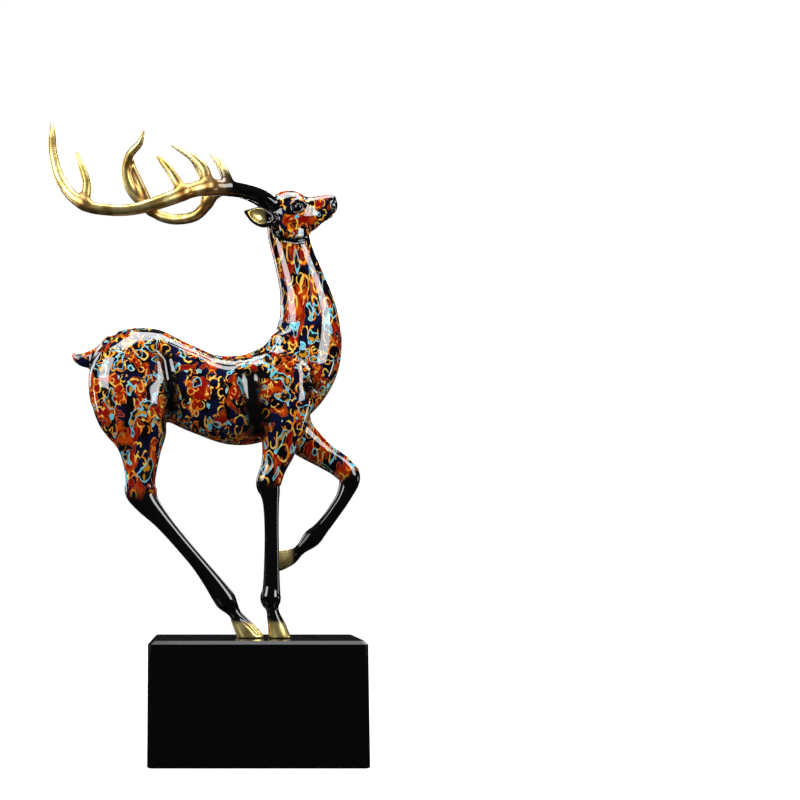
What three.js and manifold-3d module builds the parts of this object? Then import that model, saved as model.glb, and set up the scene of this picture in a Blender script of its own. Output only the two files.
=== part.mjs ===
// A standing stag with its head raised and one foreleg lifted, on a polished black plinth.
// Millimetres, +Z up. The stag faces +X, and the origin is the middle of the plinth's underside.
import * as THREE from 'three';
import Module from 'manifold-3d';

// Plinth
const PLINTH_LENGTH = 200;
const PLINTH_DEPTH = 120;
const PLINTH_HEIGHT = 112.5;
const PLINTH_CHAMFER = 3;
const PLINTH_FOOT_CHAMFER = 1;

// Stag: its height from hoof soles to antler tips, and where it stands on the plinth
const STAG_HEIGHT = 527;
const STAG_PLACE_Y = 5; // the stag's mid-plane, behind the plinth's middle
const SOLE_CLEARANCE = 0.3;
const CLEFT_WIDTH = 1.6;

// How finely the limbs are faceted
const BODY_SIDES = 18;
const LIMB_SIDES = 12;
const ANTLER_SIDES = 8;
const GROOVE_SIDES = 6;
const BALL_SIDES = 12;
const DOME_STEPS = [0.5, 0.85]; // shares of a round end's reach that get a ring
const FINE_STEPS = 2; // rings per table row on the trunk, the head and the ears
const MERGE_TOLERANCE = 0.03;

// The tables below divide the stag's height into this many parts.
const HEIGHT_PARTS = 527;

// Every table lists cross-sections along a limb, from the body outwards:
// [forward, sideways, up, half height in side view, half breadth].
// Sideways counts from the stag's mid-plane, and up from the soles.
const TRUNK = [
  [-146, 0, 254.5, 39.5, 16],
  [-138, 0, 253.3, 45, 26],
  [-121, 0, 251.7, 50.2, 33],
  [-98, 0, 250.6, 49.2, 33.3],
  [-74, 0, 246.2, 40.6, 30],
  [-49, 0, 236, 40.5, 31],
  [-20, 0, 229.8, 44.6, 35],
  [2, 0, 233, 44, 35],
  [27.5, 0, 247, 42, 32.5],
  [44, 0, 265, 38.7, 29],
  [51.8, 0, 284.8, 34.7, 25],
  [54.4, 0, 309, 30.2, 20.5],
  [51.6, 0, 331, 26.4, 18],
  [47.6, 0, 348, 23.5, 16.5],
  [42.6, 0, 365, 21.7, 15.3],
  [37.4, 0, 382.5, 20.4, 14.6],
  [33.6, 0, 399, 20.3, 14.5],
  [32, 0, 415, 18, 13],
];
const HEAD = [
  [21.5, 0, 415, 14, 9],
  [28, 0, 416.8, 22.6, 14.5],
  [37, 0, 417.3, 23.8, 16.5],
  [46, 0, 417.2, 21.9, 15.8],
  [54.5, 0, 418.4, 18, 12.8],
  [62.5, 0, 421.6, 15, 10.2],
  [70.5, 0, 424.2, 12.8, 9],
  [76.5, 0, 425.8, 11, 8],
  [78, 0, 425.8, 8.8, 6.2],
];
const TAIL = [
  [-142, 0, 271, 12, 9],
  [-151, 0, 271.5, 10.5, 7.5],
  [-160, 0, 269.8, 9, 6],
  [-168, 0, 269.3, 7, 4.8],
  [-174, 0, 271, 5, 3.4],
  [-178, 0, 274, 2.4, 1.8],
];
const SHOULDER = [
  [28, 13, 286, 13, 9],
  [30, 16, 266, 20, 14],
  [31, 19, 243, 25, 15],
  [28, 20, 222, 25, 15],
  [26, 20, 203, 21, 14.5],
];
const FORELEG = [
  [29, 17, 222, 24, 15],
  [26.5, 18, 203, 21.5, 15],
  [24, 18, 189, 18.7, 13.5],
  [21.5, 17.5, 175, 15.4, 11.5],
  [17, 17, 161, 12.3, 10],
  [12.4, 16.5, 146, 12, 9.5],
  [13.8, 16.5, 137, 9.6, 8],
  [14.8, 16, 125, 7.6, 6.6],
  [15.2, 16, 99, 6.8, 6],
  [15, 16, 66, 7.4, 6.2],
  [14.6, 16, 47, 8.3, 7.2],
  [13.8, 16, 38, 9.8, 8.8],
  [14.4, 16, 32, 8.8, 7.9],
  [15.4, 16, 27, 6, 6],
  [16.8, 16, 20, 6.6, 6.8],
  [19.8, 16, 10, 8.7, 8.2],
  [22.6, 16, -2, 10.8, 9.4],
];
const RAISED_FORELEG = [
  [30, 16, 222, 24, 15],
  [37.5, 17, 205, 20.5, 15],
  [52.5, 18, 189.5, 16.6, 12.5],
  [69.2, 18, 176.8, 13, 10.2],
  [84.8, 18, 166.4, 11.9, 9.4],
  [94, 18, 154.5, 10.8, 9],
  [88.7, 18, 137, 7.5, 7],
  [77.5, 17.5, 119.5, 6.6, 6],
  [66.5, 17, 105.5, 7, 6.2],
  [56, 16.5, 94, 9, 7.8],
  [45, 16, 84.5, 6, 6],
  [36, 15, 78, 8.2, 7],
  [27, 14, 73.5, 8.7, 7.6],
  [20, 13, 71, 6.5, 6],
];
const HIND_LEG = [
  [-120, 10, 285, 8, 6],
  [-125, 15, 270, 25, 17],
  [-126, 18, 255, 34.5, 21],
  [-123.3, 19.5, 236, 36.5, 21.5],
  [-118.8, 20, 214, 34.4, 19.5],
  [-114, 19, 195.5, 27.4, 16.5],
  [-112, 17.5, 179, 19.6, 13.5],
  [-111.4, 16, 162, 15.2, 11],
  [-111.3, 14.8, 149, 13.6, 9.4],
  [-110.5, 14.2, 139, 15, 9],
  [-104.2, 13.6, 127.2, 11.5, 8.2],
  [-89.5, 13, 110.5, 8.2, 6.8],
  [-71, 12.5, 89, 7, 6.2],
  [-54.8, 12, 70, 7.1, 6.3],
  [-42.3, 12, 53.8, 8.4, 7],
  [-33.5, 12, 41.5, 9.8, 8.4],
  [-28.2, 12, 34.2, 10, 8.4],
  [-23.4, 12, 27.6, 7.4, 6.8],
  [-19.8, 12, 22.2, 5.8, 6],
  [-16.5, 12, 16.5, 7.2, 7],
  [-12, 12, 9.5, 9.2, 8.4],
  [-7.5, 12, 3, 11, 9],
  [-3, 12, -3, 11.5, 9],
];
const EAR = [
  [21, 12, 408.5, 5, 4],
  [15.5, 16, 407.8, 8, 5],
  [8, 20.5, 407.4, 9.8, 5],
  [0, 24.5, 408.6, 8.2, 4],
  [-6, 27, 410, 4.4, 2.6],
  [-9.5, 28.5, 411, 1.6, 1.2],
];
const EAR_BOWL = [
  [13, 22.5, 407.2, 4, 4],
  [7.5, 25.5, 407.6, 7.3, 5.4],
  [0.5, 28.8, 408.7, 5.9, 4.2],
  [-5, 31, 410, 2.6, 2],
];

// The antlers differ a little from side to side, so each has its own tables.
const RIGHT_BEAM = [
  [20, 7, 424, 7, 7],
  [8, 15, 430, 7.4, 7],
  [-8, 27, 431.8, 7.2, 7],
  [-28, 41, 430.5, 7.6, 7],
  [-46, 52, 428, 7.8, 7.2],
  [-63, 62, 421, 7, 6.6],
  [-79, 70, 412, 6.9, 6.4],
  [-98, 76, 403.3, 6.1, 5.8],
  [-118, 80, 397, 5.3, 5.1],
  [-138, 81, 396.5, 5.3, 5],
  [-158, 79, 400.8, 5.5, 5.1],
  [-174, 74, 413.5, 5.5, 5.1],
  [-186.2, 68, 432.8, 5.1, 4.8],
  [-193, 62, 457.5, 4.4, 4.2],
  [-195, 57, 478, 3.5, 3.4],
  [-196, 54, 491, 1.6, 1.6],
];
const RIGHT_TINES = [
  [
    [-26, 41, 432, 5.8, 5.6],
    [-28, 41, 442, 5.2, 5],
    [-33, 38, 454, 3.8, 3.7],
    [-42, 35, 466, 1.7, 1.7],
  ],
  [
    [-46, 53, 427, 6.4, 6],
    [-49, 52, 445, 5.1, 4.9],
    [-59, 50, 457.5, 4.2, 4],
    [-69, 47, 465.5, 3.3, 3.2],
    [-80.5, 44, 473, 1.6, 1.6],
  ],
  [
    [-69, 66, 418, 5.6, 5.3],
    [-80.5, 63, 438.5, 4.1, 4],
    [-88.5, 61, 449.5, 3.2, 3.1],
    [-93.5, 59, 455.5, 1.6, 1.6],
  ],
  [
    [-160.5, 78, 404, 5.3, 5],
    [-159.2, 75, 422.5, 4.3, 4.2],
    [-162.5, 72, 435.5, 3.6, 3.5],
    [-167, 69, 448, 2.7, 2.6],
    [-169.5, 67, 456.5, 1.6, 1.6],
  ],
];
const LEFT_BEAM = [
  [20, 7, 428, 7, 7],
  [8, 19, 438, 7, 6.8],
  [-8, 31, 449.5, 6.8, 6.6],
  [-28, 45, 458, 6.6, 6.4],
  [-40, 55, 455.5, 6.4, 6.2],
  [-48, 61, 445.5, 6, 5.8],
  [-60, 68, 436.2, 5.7, 5.5],
  [-78.5, 75, 434.5, 5.6, 5.4],
  [-94.5, 80, 438.8, 5.6, 5.4],
  [-108, 83, 448, 5.6, 5.4],
  [-125.3, 83, 464.5, 5.5, 5.3],
  [-132.8, 80, 479, 5.3, 5],
  [-134, 76, 492, 4.9, 4.7],
  [-129.2, 70, 504.5, 4.4, 4.2],
  [-118.5, 64, 515, 3.5, 3.4],
  [-114.5, 60, 525.5, 1.5, 1.5],
];
const LEFT_TINES = [
  [
    [-25.5, 45, 457, 5.4, 5.2],
    [-27.5, 44, 466, 4.2, 4.1],
    [-32, 42, 478, 3.2, 3.1],
    [-39.5, 39, 488, 1.5, 1.5],
  ],
  [
    [-47.5, 59, 450, 5.6, 5.4],
    [-50, 59, 470, 4.4, 4.3],
    [-57.5, 57, 487.5, 3.6, 3.5],
    [-67, 55, 499, 2.9, 2.8],
    [-77, 52, 506, 1.5, 1.5],
  ],
  [
    [-107, 82, 447, 5.4, 5.2],
    [-118.5, 81, 474, 4.5, 4.4],
    [-125.3, 79, 489.5, 3.5, 3.4],
    [-127.5, 77, 501.5, 1.5, 1.5],
  ],
];
const MOUTH = [
  [86, 2.5, 421.6, 0.9, 0.9],
  [82, 6.4, 420.8, 1, 1.2],
  [76, 8.6, 418.6, 1, 1.4],
  [68, 9.6, 416.6, 0.8, 1],
];
const EYE = { forward: 43.5, sideways: 11.8, up: 420.5, radius: 4.3 };
const NOSTRIL = { forward: 81.5, sideways: 5.2, up: 428.6, radius: 1.7 };

// The head leans and turns a little to the right, which moves the left ear.
const LEFT_EAR_LIFT = 15;
const LEFT_EAR_ADVANCE = 5;

const FORE_CLEFT = { from: 2, to: 30, up: 12 };
const HIND_CLEFT = { from: 1, to: 30, up: 12 };

const wasm = await Module();
wasm.setup();

const unit = STAG_HEIGHT / HEIGHT_PARTS;

// Points of a smooth curve through the rows, each with its cross-section's two half sizes.
function sections(rows, side, steps) {
  const places = rows.map(([x, y, z]) => new THREE.Vector3(x, side * y, z));
  const sizes = rows.map((row) => new THREE.Vector3(row[3], row[4], 0));
  const spine = new THREE.CatmullRomCurve3(places, false, 'catmullrom');
  const girth = new THREE.CatmullRomCurve3(sizes, false, 'catmullrom');
  const count = (rows.length - 1) * steps;
  const list = [];
  for (let i = 0; i <= count; i += 1) {
    const t = i / count;
    const along = spine.getTangent(t);
    const across = new THREE.Vector3(0, 1, 0).addScaledVector(along, -along.y).normalize();
    const upright = new THREE.Vector3().crossVectors(across, along);
    const size = girth.getPoint(t);
    list.push({ place: spine.getPoint(t), along, across, upright, tall: size.x, wide: size.y });
  }
  return list;
}

// Rings that close a limb with a round end, pushed out from its last section.
function dome(section, outward) {
  const reach = Math.min(section.tall, section.wide);
  return DOME_STEPS.map((share) => ({
    ...section,
    place: section.place.clone().addScaledVector(section.along, outward * reach * share),
    tall: section.tall * Math.sqrt(1 - share * share),
    wide: section.wide * Math.sqrt(1 - share * share),
  }));
}

// A closed skin over a limb's sections, round at both ends.
function limb(rows, sides, side = 1, steps = 1) {
  const middle = sections(rows, side, steps);
  const first = middle[0];
  const last = middle[middle.length - 1];
  const rings = [...dome(first, -1).reverse(), ...middle, ...dome(last, 1)];
  const points = [];
  for (const ring of rings) {
    for (let j = 0; j < sides; j += 1) {
      const angle = (2 * Math.PI * j) / sides;
      points.push(ring.place.clone()
        .addScaledVector(ring.upright, ring.tall * Math.cos(angle))
        .addScaledVector(ring.across, ring.wide * Math.sin(angle)));
    }
  }
  const startReach = Math.min(first.tall, first.wide);
  const endReach = Math.min(last.tall, last.wide);
  points.push(first.place.clone().addScaledVector(first.along, -startReach));
  points.push(last.place.clone().addScaledVector(last.along, endReach));
  const startTip = points.length - 2;
  const endTip = points.length - 1;
  const faces = [];
  for (let j = 0; j < sides; j += 1) {
    const next = (j + 1) % sides;
    for (let i = 0; i + 1 < rings.length; i += 1) {
      const a = i * sides;
      const b = a + sides;
      faces.push(a + j, a + next, b + j, a + next, b + next, b + j);
    }
    const end = (rings.length - 1) * sides;
    faces.push(startTip, next, j, endTip, end + j, end + next);
  }
  return solid(points, faces);
}

// A closed solid from points and triangles.
function solid(points, faces) {
  const mesh = new wasm.Mesh({
    numProp: 3,
    vertProperties: Float32Array.from(points.flatMap((p) => [p.x, p.y, p.z])),
    triVerts: Uint32Array.from(faces),
  });
  mesh.merge();
  return new wasm.Manifold(mesh);
}

function solidOf(geometry) {
  const place = geometry.getAttribute('position');
  const points = [];
  for (let i = 0; i < place.count; i += 1) {
    points.push(new THREE.Vector3().fromBufferAttribute(place, i));
  }
  return solid(points, Array.from(geometry.index.array));
}

function box(low, high) {
  const size = new THREE.Vector3().subVectors(high, low);
  const middle = new THREE.Vector3().addVectors(low, high).multiplyScalar(0.5);
  const geometry = new THREE.BoxGeometry(size.x, size.y, size.z);
  geometry.translate(middle.x, middle.y, middle.z);
  return solidOf(geometry);
}

function ball(forward, sideways, up, radius) {
  const geometry = new THREE.SphereGeometry(radius, BALL_SIDES, BALL_SIDES / 2);
  geometry.translate(forward, sideways, up);
  return solidOf(geometry);
}

function joined(parts) {
  return parts.reduce((whole, part) => whole.add(part));
}

// An ear is a leaf with a bowl sunk in its outer face.
function ear(side, advance = 0, lift = 0) {
  const leaf = limb(EAR, LIMB_SIDES, side, FINE_STEPS);
  const bowl = limb(EAR_BOWL, LIMB_SIDES, side, FINE_STEPS);
  return leaf.subtract(bowl).translate([advance, 0, lift]);
}

function antler(beam, tines, side) {
  return joined([beam, ...tines].map((rows) => limb(rows, ANTLER_SIDES, side)));
}

// The slot between a hoof's two toes, open at the front and the sole.
function cleft(rows, side, reach) {
  const [x, y, z] = rows[rows.length - 1].map((share) => share * unit);
  const middle = side * y;
  return box(
    new THREE.Vector3(x + reach.from * unit, middle - CLEFT_WIDTH / 2, z - reach.up * unit),
    new THREE.Vector3(x + reach.to * unit, middle + CLEFT_WIDTH / 2, z + reach.up * unit),
  );
}

function stag() {
  const right = -1;
  const left = 1;
  const parts = [
    limb(TRUNK, BODY_SIDES, 1, FINE_STEPS),
    limb(HEAD, LIMB_SIDES, 1, FINE_STEPS),
    limb(TAIL, LIMB_SIDES),
  ];
  const carving = [];
  for (const side of [right, left]) {
    parts.push(limb(SHOULDER, LIMB_SIDES, side));
    parts.push(limb(HIND_LEG, LIMB_SIDES, side));
    parts.push(ball(EYE.forward, side * EYE.sideways, EYE.up, EYE.radius));
    carving.push(limb(MOUTH, GROOVE_SIDES, side));
    carving.push(ball(NOSTRIL.forward, side * NOSTRIL.sideways, NOSTRIL.up, NOSTRIL.radius));
  }
  parts.push(ear(right));
  parts.push(ear(left, LEFT_EAR_ADVANCE, LEFT_EAR_LIFT));
  parts.push(limb(FORELEG, LIMB_SIDES, right));
  parts.push(limb(RAISED_FORELEG, LIMB_SIDES, left));
  parts.push(antler(RIGHT_BEAM, RIGHT_TINES, right));
  parts.push(antler(LEFT_BEAM, LEFT_TINES, left));
  const reach = STAG_HEIGHT;
  const below = box(new THREE.Vector3(-reach, -reach, -reach), new THREE.Vector3(reach, reach, 0));
  return joined(parts)
    .subtract(joined(carving))
    .scale(unit)
    .subtract(cleft(FORELEG, right, FORE_CLEFT))
    .subtract(cleft(HIND_LEG, right, HIND_CLEFT))
    .subtract(cleft(HIND_LEG, left, HIND_CLEFT))
    .subtract(below)
    .simplify(MERGE_TOLERANCE);
}

// A block with chamfered corners and edges: one ring of eight points per level.
function block() {
  const levels = [
    [0, PLINTH_FOOT_CHAMFER],
    [PLINTH_FOOT_CHAMFER, 0],
    [PLINTH_HEIGHT - PLINTH_CHAMFER, 0],
    [PLINTH_HEIGHT, PLINTH_CHAMFER],
  ];
  const points = [];
  for (const [z, inset] of levels) {
    const x = PLINTH_LENGTH / 2 - inset;
    const y = PLINTH_DEPTH / 2 - inset;
    const cut = PLINTH_CHAMFER;
    const corner = [[x - cut, y], [x, y - cut]];
    const quarters = [[1, 1], [1, -1], [-1, -1], [-1, 1]];
    quarters.forEach(([sx, sy], i) => {
      const pair = i % 2 === 0 ? corner : [...corner].reverse();
      pair.forEach(([px, py]) => points.push(new THREE.Vector3(sx * px, sy * py, z)));
    });
  }
  const around = points.length / levels.length;
  const faces = [];
  const top = (levels.length - 1) * around;
  for (let j = 0; j < around; j += 1) {
    const next = (j + 1) % around;
    for (let i = 0; i + 1 < levels.length; i += 1) {
      const a = i * around;
      const b = a + around;
      faces.push(a + j, b + j, a + next, a + next, b + j, b + next);
    }
    if (j > 0 && j + 1 < around) {
      faces.push(0, j, j + 1, top, top + j + 1, top + j);
    }
  }
  return { points, faces };
}

function geometryOf(positions, faces) {
  const geometry = new THREE.BufferGeometry();
  geometry.setAttribute('position', new THREE.BufferAttribute(Float32Array.from(positions), 3));
  geometry.setIndex(Array.from(faces));
  geometry.computeVertexNormals();
  return geometry;
}

function stagMesh() {
  const mesh = stag().getMesh();
  const lacquer = new THREE.MeshStandardMaterial({ color: 0x6b2a17, roughness: 0.18, metalness: 0.2 });
  const piece = new THREE.Mesh(geometryOf(mesh.vertProperties, mesh.triVerts), lacquer);
  piece.name = 'deer';
  piece.position.set(0, STAG_PLACE_Y, PLINTH_HEIGHT + SOLE_CLEARANCE);
  return piece;
}

function plinthMesh() {
  const { points, faces } = block();
  const polish = new THREE.MeshStandardMaterial({ color: 0x0a0a0b, roughness: 0.12, metalness: 0 });
  const piece = new THREE.Mesh(geometryOf(points.flatMap((p) => [p.x, p.y, p.z]), faces), polish);
  piece.name = 'plinth';
  return piece;
}

const figurine = new THREE.Group();
figurine.name = 'figurine';
figurine.add(stagMesh(), plinthMesh());

export default figurine;
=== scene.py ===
"""Looks of the stag figurine: a skin over blended limbs, its lacquer and gilding, the plinth and a studio."""

import math

import bpy
import numpy as np
import openvdb
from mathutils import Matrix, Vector


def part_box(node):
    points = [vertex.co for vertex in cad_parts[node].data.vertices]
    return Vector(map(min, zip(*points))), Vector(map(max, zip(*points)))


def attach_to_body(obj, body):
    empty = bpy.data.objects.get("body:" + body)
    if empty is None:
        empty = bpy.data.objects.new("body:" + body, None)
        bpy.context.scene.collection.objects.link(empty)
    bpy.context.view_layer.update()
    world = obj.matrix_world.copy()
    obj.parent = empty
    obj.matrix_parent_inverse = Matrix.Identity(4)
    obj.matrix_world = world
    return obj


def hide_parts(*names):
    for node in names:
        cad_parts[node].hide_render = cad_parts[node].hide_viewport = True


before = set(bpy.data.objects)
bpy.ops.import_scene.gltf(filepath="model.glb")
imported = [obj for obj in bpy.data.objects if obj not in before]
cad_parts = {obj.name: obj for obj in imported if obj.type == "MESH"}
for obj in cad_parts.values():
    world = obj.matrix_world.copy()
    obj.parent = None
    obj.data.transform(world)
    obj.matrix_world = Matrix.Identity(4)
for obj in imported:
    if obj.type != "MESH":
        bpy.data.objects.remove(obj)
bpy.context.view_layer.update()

# Sizes. The stag's tables are in parts of its height, as in the part's source.
# Everything else is in metres.
HEIGHT_PARTS = 527
STAG_PLACE_Y = 0.005
STAG_LOW, STAG_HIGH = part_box("deer")
UNIT = (STAG_HIGH.z - STAG_LOW.z) / HEIGHT_PARTS

# The skin's grid: the side of a cell in parts, and how many cells beyond the surface hold distances
VOXEL = 0.8
BAND = 14
SKIN_TRIANGLES = 190000
# Sections per row of a limb, rings of its round ends, and corners of a section
LIMB_STEPS = 10
DOME_RINGS = 8
TRUNK_SIDES = 128
LEG_SIDES = 96
LIMB_SIDES = 64
FINE_SIDES = 24
# The skin is drawn from distances up to so many cells. Then its points move onto the surface,
# by so many parts at most, and a normal is measured over a reach to each side.
SKIN_CLIP = 3
MOST_AWAY = 0.3
NORMAL_REACH = 1.5 * VOXEL
FAR = 1e9
TINY = 1e-9

# Cross-sections from the body outwards: forward, sideways from the mid-plane, up from the soles,
# half height in side view, half breadth
TRUNK = [
    [-146, 0, 254.5, 39.5, 16],
    [-138, 0, 253.3, 45, 26],
    [-121, 0, 251.7, 50.2, 33],
    [-98, 0, 250.6, 49.2, 33.3],
    [-74, 0, 246.2, 40.6, 30],
    [-49, 0, 236, 40.5, 31],
    [-20, 0, 229.8, 44.6, 35],
    [2, 0, 233, 44, 35],
    [27.5, 0, 247, 42, 32.5],
    [44, 0, 265, 38.7, 29],
    [51.8, 0, 284.8, 34.7, 25],
    [54.4, 0, 309, 30.2, 20.5],
    [51.6, 0, 331, 26.4, 18],
    [47.6, 0, 348, 23.5, 16.5],
    [42.6, 0, 365, 21.7, 15.3],
    [37.4, 0, 382.5, 20.4, 14.6],
    [33.6, 0, 399, 20.3, 14.5],
    [32, 0, 415, 18, 13],
]
HEAD = [
    [21.5, 0, 415, 14, 9],
    [28, 0, 416.8, 22.6, 14.5],
    [37, 0, 417.3, 23.8, 16.5],
    [46, 0, 417.2, 21.9, 15.8],
    [54.5, 0, 418.4, 18.6, 12.8],
    [62.5, 0, 421.2, 14.6, 10.2],
    [70.5, 0, 424.1, 12.7, 9],
    [76.5, 0, 426, 11.3, 8],
    [78, 0, 425.8, 8.8, 6.2],
]
TAIL = [
    [-142, 0, 271, 12, 9],
    [-151, 0, 271.5, 10.5, 7.5],
    [-160, 0, 269.8, 9, 6],
    [-168, 0, 269.3, 7, 4.8],
    [-174, 0, 271, 5, 3.4],
    [-178, 0, 274, 2.4, 1.8],
]
SHOULDER = [
    [28, 13, 286, 13, 9],
    [30, 16, 266, 20, 14],
    [31, 19, 243, 25, 15],
    [28, 20, 222, 25, 15],
    [26, 20, 203, 21, 14.5],
]
FORELEG = [
    [29, 17, 222, 24, 15],
    [26.5, 18, 203, 21.5, 15],
    [24, 18, 189, 18.7, 13.5],
    [21.5, 17.5, 175, 15.4, 11.5],
    [17, 17, 161, 12.3, 10],
    [12.4, 16.5, 146, 12, 9.5],
    [13.8, 16.5, 137, 9.6, 8],
    [14.8, 16, 125, 7.6, 6.6],
    [15.2, 16, 99, 6.8, 6],
    [15, 16, 66, 7.4, 6.2],
    [14.6, 16, 47, 8.3, 7.2],
    [13.8, 16, 38, 9.8, 8.8],
    [14.4, 16, 32, 8.8, 7.9],
    [15.4, 16, 27, 6, 6],
    [16.8, 16, 20, 6.6, 6.8],
    [19.8, 16, 10, 8.7, 8.2],
    [22.6, 16, -2, 10.8, 9.4],
]
RAISED_FORELEG = [
    [30, 16, 222, 24, 15],
    [37.5, 17, 205, 20.5, 15],
    [52.5, 18, 189.5, 16.6, 12.5],
    [69.2, 18, 176.8, 13, 10.2],
    [84.8, 18, 166.4, 11.9, 9.4],
    [94, 18, 154.5, 10.8, 9],
    [88.7, 18, 137, 7.5, 7],
    [77.5, 17.5, 119.5, 6.6, 6],
    [66.5, 17, 105.5, 7, 6.2],
    [56, 16.5, 94.5, 8.7, 7.8],
    [44.5, 16, 83.6, 5.3, 5.6],
    [35.5, 15, 77, 7.8, 7.2],
    [26, 14, 73.6, 9.7, 8.2],
    [15, 13, 70.4, 10.6, 8.6],
]
HIND_LEG = [
    [-120, 10, 285, 8, 6],
    [-125, 15, 270, 25, 17],
    [-126, 18, 255, 34.5, 21],
    [-123.3, 19.5, 236, 36.5, 21.5],
    [-118.8, 20, 214, 34.4, 19.5],
    [-114, 19, 195.5, 27.4, 16.5],
    [-112, 17.5, 179, 19.6, 13.5],
    [-111.4, 16, 162, 15.2, 11],
    [-111.3, 14.8, 149, 13.6, 9.4],
    [-110.5, 14.2, 139, 15, 9],
    [-104.2, 13.6, 127.2, 11.5, 8.2],
    [-89.5, 13, 110.5, 8.2, 6.8],
    [-71, 12.5, 89, 7, 6.2],
    [-54.8, 12, 70, 7.1, 6.3],
    [-42.3, 12, 53.8, 8.4, 7],
    [-33.5, 12, 41.5, 9.8, 8.4],
    [-28.2, 12, 34.2, 10, 8.4],
    [-23.4, 12, 27.6, 7.4, 6.8],
    [-19.8, 12, 22.2, 5.8, 6],
    [-16.5, 12, 16.5, 7.2, 7],
    [-12, 12, 9.5, 9.2, 8.4],
    [-7.5, 12, 3, 11, 9],
    [-3, 12, -3, 11.5, 9],
]
EAR = [
    [21, 12, 408.5, 5, 4],
    [15.5, 16, 407.8, 8, 5],
    [8, 20.5, 407.4, 9.8, 5],
    [0, 24.5, 408.6, 8.2, 4],
    [-6, 27, 410, 4.4, 2.6],
    [-9.5, 28.5, 411, 1.6, 1.2],
]
EAR_BOWL = [
    [13, 22.5, 407.2, 4, 4],
    [7.5, 25.5, 407.6, 7.3, 5.4],
    [0.5, 28.8, 408.7, 5.9, 4.2],
    [-5, 31, 410, 2.6, 2],
]
RIGHT_BEAM = [
    [20, 7, 424, 7, 7],
    [8, 15, 430, 7.4, 7],
    [-8, 27, 431.8, 7.2, 7],
    [-28, 41, 430.5, 7.6, 7],
    [-46, 52, 428, 7.8, 7.2],
    [-63, 62, 421, 7, 6.6],
    [-79, 70, 412, 6.9, 6.4],
    [-98, 76, 403.3, 6.1, 5.8],
    [-118, 80, 397, 5.3, 5.1],
    [-138, 81, 396.5, 5.3, 5],
    [-158, 79, 400.8, 5.5, 5.1],
    [-174, 74, 413.5, 5.5, 5.1],
    [-186.2, 68, 432.8, 5.1, 4.8],
    [-193, 62, 457.5, 4.4, 4.2],
    [-195, 57, 478, 3.5, 3.4],
    [-196, 54, 491, 1.6, 1.6],
]
RIGHT_TINES = [
    [
        [-26, 41, 432, 5.8, 5.6],
        [-28, 41, 442, 5.2, 5],
        [-33, 38, 454, 3.8, 3.7],
        [-42, 35, 466, 1.7, 1.7],
    ],
    [
        [-46, 53, 427, 6.4, 6],
        [-49, 52, 445, 5.1, 4.9],
        [-59, 50, 457.5, 4.2, 4],
        [-69, 47, 465.5, 3.3, 3.2],
        [-80.5, 44, 473, 1.6, 1.6],
    ],
    [
        [-69, 66, 418, 5.6, 5.3],
        [-80.5, 63, 438.5, 4.1, 4],
        [-88.5, 61, 449.5, 3.2, 3.1],
        [-93.5, 59, 455.5, 1.6, 1.6],
    ],
    [
        [-160.5, 78, 404, 5.3, 5],
        [-159.2, 75, 422.5, 4.3, 4.2],
        [-162.5, 72, 435.5, 3.6, 3.5],
        [-167, 69, 448, 2.7, 2.6],
        [-169.5, 67, 456.5, 1.6, 1.6],
    ],
]
LEFT_BEAM = [
    [20, 7, 428, 7, 7],
    [8, 19, 438, 7, 6.8],
    [-8, 31, 449.5, 6.8, 6.6],
    [-28, 45, 458, 6.6, 6.4],
    [-40, 55, 455.5, 6.4, 6.2],
    [-48, 61, 445.5, 6, 5.8],
    [-60, 68, 436.2, 5.7, 5.5],
    [-78.5, 75, 434.5, 5.6, 5.4],
    [-94.5, 80, 438.8, 5.6, 5.4],
    [-108, 83, 448, 5.6, 5.4],
    [-125.3, 83, 464.5, 5.5, 5.3],
    [-132.8, 80, 479, 5.3, 5],
    [-134, 76, 492, 4.9, 4.7],
    [-129.2, 70, 504.5, 4.4, 4.2],
    [-118.5, 64, 515, 3.5, 3.4],
    [-114.5, 60, 525.5, 1.5, 1.5],
]
LEFT_TINES = [
    [
        [-25.5, 45, 457, 5.4, 5.2],
        [-27.5, 44, 466, 4.2, 4.1],
        [-32, 42, 478, 3.2, 3.1],
        [-39.5, 39, 488, 1.5, 1.5],
    ],
    [
        [-47.5, 59, 450, 5.6, 5.4],
        [-50, 59, 470, 4.4, 4.3],
        [-57.5, 57, 487.5, 3.6, 3.5],
        [-67, 55, 499, 2.9, 2.8],
        [-77, 52, 506, 1.5, 1.5],
    ],
    [
        [-107, 82, 447, 5.4, 5.2],
        [-118.5, 81, 474, 4.5, 4.4],
        [-125.3, 79, 489.5, 3.5, 3.4],
        [-127.5, 77, 501.5, 1.5, 1.5],
    ],
]
MOUTH = [
    [86, 2.5, 421.6, 0.9, 0.9],
    [82, 6.4, 420.8, 1, 1.2],
    [76, 8.6, 418.6, 1, 1.4],
    [68, 9.6, 416.6, 0.8, 1],
]
UPPER_LID = [
    [30.5, 13.2, 413.5, 0.5, 0.6],
    [34, 14.2, 419, 1.1, 1.4],
    [39.5, 14.6, 425.2, 1.3, 1.8],
    [44, 14.2, 427, 1.3, 1.8],
    [49.5, 12.6, 425.2, 1.1, 1.5],
    [54.5, 10.8, 421.5, 0.5, 0.6],
]
LOWER_LID = [
    [31.5, 13.6, 412.5, 0.5, 0.6],
    [37.5, 14.6, 412.6, 0.9, 1.2],
    [43, 14.4, 414.2, 1, 1.4],
    [48.5, 13.2, 417, 0.9, 1.2],
    [54, 11, 420.5, 0.5, 0.6],
]
EYE = {"forward": 43.5, "sideways": 11.4, "up": 420.6, "radius": 4.9}
SOCKET = {"forward": 43.5, "sideways": 17.2, "up": 420.2, "radius": 6.2}
NOSTRIL = {"forward": 81.5, "sideways": 5.2, "up": 428.6, "radius": 1.7}
LEFT_EAR_LIFT = 15
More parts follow.
